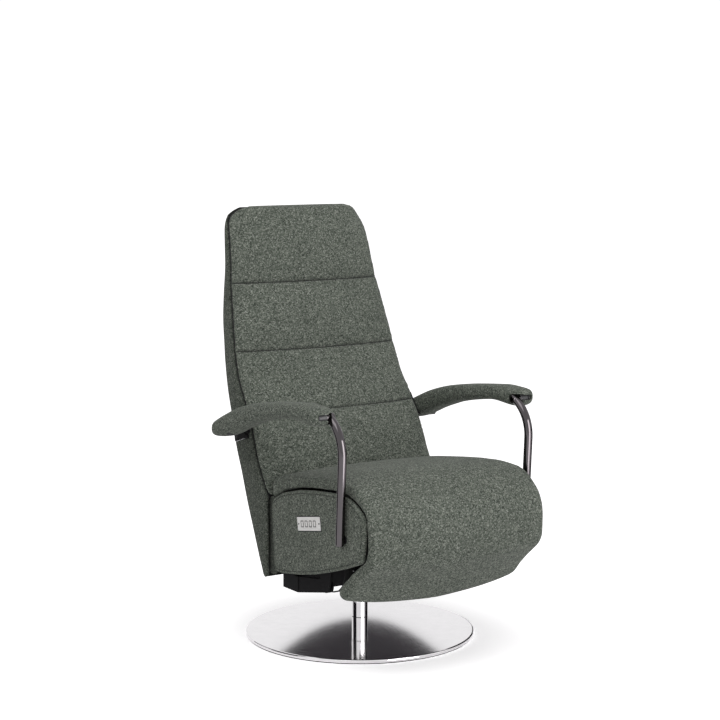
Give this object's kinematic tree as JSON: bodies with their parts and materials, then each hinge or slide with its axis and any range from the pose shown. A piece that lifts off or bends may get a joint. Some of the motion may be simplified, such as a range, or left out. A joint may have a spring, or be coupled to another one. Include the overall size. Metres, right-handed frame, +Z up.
{
  "type": "lift chair",
  "caption": "Swivel lift chair with a tall channelled back, a folding leg rest, pads carried on bent tubes that stay level, a keypad in one side and a round floor plate",
  "frame": {"origin": "On the floor, on the column's axis, under the middle of the floor plate", "axes": "+X is the sitter's left, -Y is the way the sitter faces, +Z is up"},
  "size_m": [0.6908, 0.825, 1.1447],
  "materials": {
    "chrome": "polished",
    "rubber": "matte",
    "steel": "plain",
    "black_metal": "satin powder coat",
    "black_plastic": "matte",
    "wood": "raw board",
    "fabric": "heathered weave, grey green",
    "lining": "black lining",
    "key_plastic": "light grey, matte",
    "tube_metal": "dark gunmetal, gloss"
  },
  "bodies": {
    "base": {"glide_ring": "rubber", "base_plate": "chrome", "column_foot": "chrome", "spindle": "steel", "slip_ring": "rubber"},
    "swivel": {"column_sleeve": "chrome", "swivel_hub": "black_metal", "hub_bolts": "steel", "mechanism_beam": "black_metal", "beam_end_caps": "black_plastic", "lift_arm_left": "black_metal", "lift_arm_right": "black_metal"},
    "lift_motor": {"lift_motor": "black_plastic"},
    "lift_rod": {"lift_rod": "chrome"},
    "seat": {"seat_rail_left": "black_metal", "seat_rail_right": "black_metal", "front_cross_tube": "black_metal", "rear_cross_tube": "black_metal", "seat_board": "wood", "seat_cushion": "fabric", "side_panel_left": "fabric", "side_panel_right": "fabric", "lift_pins": "steel", "recline_pins": "steel", "arm_pivot_bolts": "black_metal", "control_box": "black_plastic", "keypad_housing": "key_plastic", "leg_motor": "steel"},
    "button_1": {"button_1": "key_plastic"},
    "button_2": {"button_2": "key_plastic"},
    "button_3": {"button_3": "key_plastic"},
    "button_4": {"button_4": "key_plastic"},
    "recline_motor": {"recline_motor": "black_plastic"},
    "recline_rod": {"recline_rod": "chrome"},
    "leg_rest": {"leg_hinge_tube": "black_metal", "leg_frame": "lining", "leg_board": "wood", "leg_cushion": "fabric"},
    "back": {"back_shell": "fabric", "back_board": "wood", "back_arm_left": "black_metal", "back_arm_right": "black_metal", "back_cross_tube": "black_metal", "back_cushion": "fabric", "arm_bracket_left": "black_metal", "arm_bracket_right": "black_metal"},
    "arm_tube_left": {"arm_tube_left": "tube_metal"},
    "arm_tube_right": {"arm_tube_right": "tube_metal"},
    "armrest_left": {"armrest_core_left": "steel", "armrest_pad_left": "fabric"},
    "armrest_right": {"armrest_core_right": "steel", "armrest_pad_right": "fabric"}
  },
  "joints": [
    {"name": "swivel_turn", "type": "hinge", "parent": "base", "child": "swivel", "pos_m": [0, 0, 0.1], "axis": [0, 0, 1], "continuous": true},
    {"name": "lift", "type": "hinge", "parent": "swivel", "child": "seat", "pos_m": [0, -0.2, 0.2], "axis": [1, 0, 0], "range_deg": [0, 28]},
    {"name": "recline", "type": "hinge", "parent": "seat", "child": "back", "pos_m": [0, 0.08, 0.265], "axis": [-1, 0, 0], "range_deg": [0, 32]},
    {"name": "leg_rest_swing", "type": "hinge", "parent": "seat", "child": "leg_rest", "pos_m": [0, -0.422, 0.442], "axis": [-1, 0, 0], "range_deg": [0, 100]},
    {"name": "arm_tube_left_pivot", "type": "hinge", "parent": "seat", "child": "arm_tube_left", "pos_m": [0.288, -0.353, 0.357], "axis": [-1, 0, 0], "range_deg": [-0.5, 32.5]},
    {"name": "arm_tube_right_pivot", "type": "hinge", "parent": "seat", "child": "arm_tube_right", "pos_m": [-0.288, -0.353, 0.357], "axis": [-1, 0, 0], "range_deg": [-0.5, 32.5]},
    {"name": "armrest_left_pivot", "type": "hinge", "parent": "arm_tube_left", "child": "armrest_left", "pos_m": [0.301, -0.305, 0.657], "axis": [-1, 0, 0], "range_deg": [-32.5, 0.5]},
    {"name": "armrest_right_pivot", "type": "hinge", "parent": "arm_tube_right", "child": "armrest_right", "pos_m": [-0.301, -0.305, 0.657], "axis": [-1, 0, 0], "range_deg": [-32.5, 0.5]},
    {"name": "lift_motor_pivot", "type": "hinge", "parent": "swivel", "child": "lift_motor", "pos_m": [0, -0.1, 0.173], "axis": [1, 0, 0], "range_deg": [-0.5, 29]},
    {"name": "lift_rod_slide", "type": "slide", "parent": "lift_motor", "child": "lift_rod", "axis": [0, 0.5107, 0.8598], "range_m": [-0.0005, 0.0507]},
    {"name": "recline_motor_pivot", "type": "hinge", "parent": "seat", "child": "recline_motor", "pos_m": [0.11, -0.30018, 0.2544], "axis": [-1, 0, 0], "range_deg": [-0.1, 2.4]},
    {"name": "recline_rod_slide", "type": "slide", "parent": "recline_motor", "child": "recline_rod", "axis": [0, 0.9808, 0.195], "range_m": [-0.0005, 0.0328]},
    {"name": "button_1_press", "type": "slide", "parent": "seat", "child": "button_1", "axis": [1, 0, 0], "range_m": [0, 0.001], "stiffness_N_per_m": 300, "springref_m": -0.001},
    {"name": "button_2_press", "type": "slide", "parent": "seat", "child": "button_2", "axis": [1, 0, 0], "range_m": [0, 0.001], "stiffness_N_per_m": 300, "springref_m": -0.001},
    {"name": "button_3_press", "type": "slide", "parent": "seat", "child": "button_3", "axis": [1, 0, 0], "range_m": [0, 0.001], "stiffness_N_per_m": 300, "springref_m": -0.001},
    {"name": "button_4_press", "type": "slide", "parent": "seat", "child": "button_4", "axis": [1, 0, 0], "range_m": [0, 0.001], "stiffness_N_per_m": 300, "springref_m": -0.001}
  ],
  "couplings": [
    {"joint": "arm_tube_left_pivot", "follows": "recline", "ratio": 1},
    {"joint": "arm_tube_right_pivot", "follows": "recline", "ratio": 1},
    {"joint": "armrest_left_pivot", "follows": "recline", "ratio": -1},
    {"joint": "armrest_right_pivot", "follows": "recline", "ratio": -1},
    {"joint": "lift_motor_pivot", "follows": "lift", "ratio": 1.0145},
    {"joint": "lift_rod_slide", "follows": "lift", "m_per_rad": 0.10252},
    {"joint": "recline_motor_pivot", "follows": "recline", "ratio": 0.069988},
    {"joint": "recline_rod_slide", "follows": "recline", "m_per_rad": 0.057614}
  ]
}
